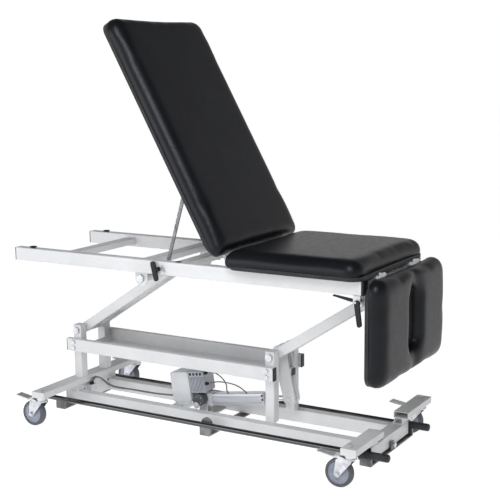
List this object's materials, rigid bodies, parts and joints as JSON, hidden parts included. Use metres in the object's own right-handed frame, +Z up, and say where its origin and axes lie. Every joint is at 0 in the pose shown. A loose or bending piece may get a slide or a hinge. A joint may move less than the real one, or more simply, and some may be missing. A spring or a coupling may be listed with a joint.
{
  "type": "examination couch",
  "caption": "Height-adjustable three-section examination couch with parallelogram lift, raised back, hanging head section, foot bars and swivel casters.",
  "frame": {"origin": "on the floor, under the middle of the couch's outer box", "axes": "+Z up, +X along the couch towards the hanging head section, +Y to the far side"},
  "size_m": [1.606, 0.686, 1.5981],
  "materials": {
    "white_powder_coat": "satin",
    "black_plastic": "matt",
    "black_rubber": "matt",
    "zinc_steel": "zinc plated",
    "wheel": "satin",
    "black_vinyl": "satin vinyl",
    "plywood": "black backing cloth",
    "black_gloss_bar": "gloss",
    "grey_housing": "satin",
    "dark_casting": "painted",
    "cable_grey": "matt"
  },
  "bodies": {
    "base": {"lower_rails": "white_powder_coat", "left_cross_tube": "white_powder_coat", "left_end_plate": "white_powder_coat", "riser_blocks": "white_powder_coat", "right_cross_tube": "white_powder_coat", "right_outriggers": "white_powder_coat", "base_tube_caps": "black_plastic", "posts": "white_powder_coat", "mid_rails": "white_powder_coat", "shelf_tray": "white_powder_coat", "lower_pivot_shafts": "zinc_steel", "post_bolts": "zinc_steel", "actuator_mount": "white_powder_coat", "caster_stems": "zinc_steel", "rocker_pivots": "zinc_steel", "bar_switch": "black_plastic", "control_cables": "cable_grey"},
    "left_arm": {"left_arm_sides": "white_powder_coat", "left_arm_sleeves": "white_powder_coat"},
    "right_arm": {"right_arm_sides": "white_powder_coat", "right_arm_sleeves": "white_powder_coat", "lift_lever_plates": "white_powder_coat"},
    "top_frame": {"top_rail_near": "white_powder_coat", "top_rail_far": "white_powder_coat", "top_cross_tubes": "white_powder_coat", "top_rail_caps": "black_plastic", "arm_brackets": "white_powder_coat", "upper_pivot_shafts": "zinc_steel", "rail_bumpers": "black_rubber", "centre_cushion": "black_vinyl", "centre_board": "plywood"},
    "back_section": {"back_cushion": "black_vinyl", "back_board": "plywood", "back_hinge_arms": "white_powder_coat"},
    "strut": {"back_struts": "zinc_steel"},
    "head_section": {"head_cushion": "black_vinyl", "head_board": "plywood", "head_hinge_arms": "white_powder_coat"},
    "back_lever": {"back_release_lever": "black_plastic"},
    "head_lever": {"head_release_lever": "black_plastic"},
    "bar_rocker": {"foot_bars": "black_gloss_bar", "bar_grips": "black_rubber", "rocker_straps": "zinc_steel"},
    "actuator": {"actuator_housing": "grey_housing", "actuator_motor": "dark_casting", "control_box": "grey_housing"},
    "rod": {"actuator_rod": "zinc_steel"},
    "fork_left_near": {"caster_fork_left_near": "zinc_steel"},
    "wheel_left_near": {"caster_wheel_left_near": "wheel"},
    "pedal_left_near": {"brake_pedal_left_near": "zinc_steel"},
    "fork_left_far": {"caster_fork_left_far": "zinc_steel"},
    "wheel_left_far": {"caster_wheel_left_far": "wheel"},
    "pedal_left_far": {"brake_pedal_left_far": "zinc_steel"},
    "fork_right_near": {"caster_fork_right_near": "zinc_steel"},
    "wheel_right_near": {"caster_wheel_right_near": "wheel"},
    "pedal_right_near": {"brake_pedal_right_near": "zinc_steel"},
    "fork_right_far": {"caster_fork_right_far": "zinc_steel"},
    "wheel_right_far": {"caster_wheel_right_far": "wheel"},
    "pedal_right_far": {"brake_pedal_right_far": "zinc_steel"}
  },
  "joints": [
    {"name": "lift", "type": "hinge", "parent": "base", "child": "left_arm", "pos_m": [-0.633, 0, 0.347], "axis": [0, -1, 0], "range_deg": [-27, 27]},
    {"name": "top_level", "type": "hinge", "parent": "left_arm", "child": "top_frame", "pos_m": [-0.2072, 0, 0.62405], "axis": [0, -1, 0], "range_deg": [-27, 27]},
    {"name": "right_arm_turn", "type": "hinge", "parent": "base", "child": "right_arm", "pos_m": [0.2685, 0, 0.347], "axis": [0, -1, 0], "range_deg": [-27, 27]},
    {"name": "actuator_swing", "type": "hinge", "parent": "base", "child": "actuator", "pos_m": [-0.075, 0, 0.114], "axis": [0, -1, 0], "range_deg": [-0.85, 0.85]},
    {"name": "rod_slide", "type": "slide", "parent": "actuator", "child": "rod", "axis": [0.9888, 0, 0.149], "range_m": [-0.083, 0.083]},
    {"name": "back_tilt", "type": "hinge", "parent": "top_frame", "child": "back_section", "pos_m": [0.18, 0, 0.74], "axis": [0, 1, 0], "range_deg": [-60.6, 9]},
    {"name": "strut_fold", "type": "hinge", "parent": "back_section", "child": "strut", "pos_m": [-0.01683, 0, 1.0002], "axis": [0, -1, 0], "range_deg": [-25, 4]},
    {"name": "head_tilt", "type": "hinge", "parent": "top_frame", "child": "head_section", "pos_m": [0.744, 0, 0.71], "axis": [0, -1, 0], "range_deg": [0, 90]},
    {"name": "back_release", "type": "hinge", "parent": "top_frame", "child": "back_lever", "pos_m": [-0.104, -0.24, 0.674], "axis": [0, -1, 0], "range_deg": [0, 20], "stiffness_Nm_per_rad": 2},
    {"name": "head_release", "type": "hinge", "parent": "top_frame", "child": "head_lever", "pos_m": [0.694, -0.255, 0.63], "axis": [0, -1, 0], "range_deg": [0, 8], "stiffness_Nm_per_rad": 4},
    {"name": "bar_rock", "type": "hinge", "parent": "base", "child": "bar_rocker", "pos_m": [0.03, 0, 0.06], "axis": [1, 0, 0], "range_deg": [-2, 2], "stiffness_Nm_per_rad": 120},
    {"name": "swivel_left_near", "type": "hinge", "parent": "base", "child": "fork_left_near", "pos_m": [-0.645, -0.315, 0.108], "axis": [0, 0, 1], "continuous": true},
    {"name": "roll_left_near", "type": "hinge", "parent": "fork_left_near", "child": "wheel_left_near", "pos_m": [-0.684, -0.315, 0.051], "axis": [0, 1, 0], "continuous": true},
    {"name": "brake_left_near", "type": "hinge", "parent": "fork_left_near", "child": "pedal_left_near", "pos_m": [-0.677, -0.315, 0.1095], "axis": [0, -1, 0], "range_deg": [0, 7]},
    {"name": "swivel_left_far", "type": "hinge", "parent": "base", "child": "fork_left_far", "pos_m": [-0.645, 0.315, 0.108], "axis": [0, 0, 1], "continuous": true},
    {"name": "roll_left_far", "type": "hinge", "parent": "fork_left_far", "child": "wheel_left_far", "pos_m": [-0.684, 0.315, 0.051], "axis": [0, 1, 0], "continuous": true},
    {"name": "brake_left_far", "type": "hinge", "parent": "fork_left_far", "child": "pedal_left_far", "pos_m": [-0.677, 0.315, 0.1095], "axis": [0, -1, 0], "range_deg": [0, 7]},
    {"name": "swivel_right_near", "type": "hinge", "parent": "base", "child": "fork_right_near", "pos_m": [0.7, -0.315, 0.108], "axis": [0, 0, 1], "continuous": true},
    {"name": "roll_right_near", "type": "hinge", "parent": "fork_right_near", "child": "wheel_right_near", "pos_m": [0.661, -0.315, 0.051], "axis": [0, 1, 0], "continuous": true},
    {"name": "brake_right_near", "type": "hinge", "parent": "fork_right_near", "child": "pedal_right_near", "pos_m": [0.668, -0.315, 0.1095], "axis": [0, -1, 0], "range_deg": [0, 7]},
    {"name": "swivel_right_far", "type": "hinge", "parent": "base", "child": "fork_right_far", "pos_m": [0.7, 0.315, 0.108], "axis": [0, 0, 1], "continuous": true},
    {"name": "roll_right_far", "type": "hinge", "parent": "fork_right_far", "child": "wheel_right_far", "pos_m": [0.661, 0.315, 0.051], "axis": [0, 1, 0], "continuous": true},
    {"name": "brake_right_far", "type": "hinge", "parent": "fork_right_far", "child": "pedal_right_far", "pos_m": [0.668, 0.315, 0.1095], "axis": [0, -1, 0], "range_deg": [0, 7]}
  ],
  "couplings": [
    {"joint": "top_level", "follows": "lift", "ratio": -1},
    {"joint": "right_arm_turn", "follows": "lift", "ratio": 1},
    {"joint": "actuator_swing", "follows": "lift", "ratio": 0.03},
    {"joint": "rod_slide", "follows": "lift", "m_per_rad": 0.1733},
    {"joint": "strut_fold", "follows": "back_tilt", "ratio": 0.4}
  ]
}
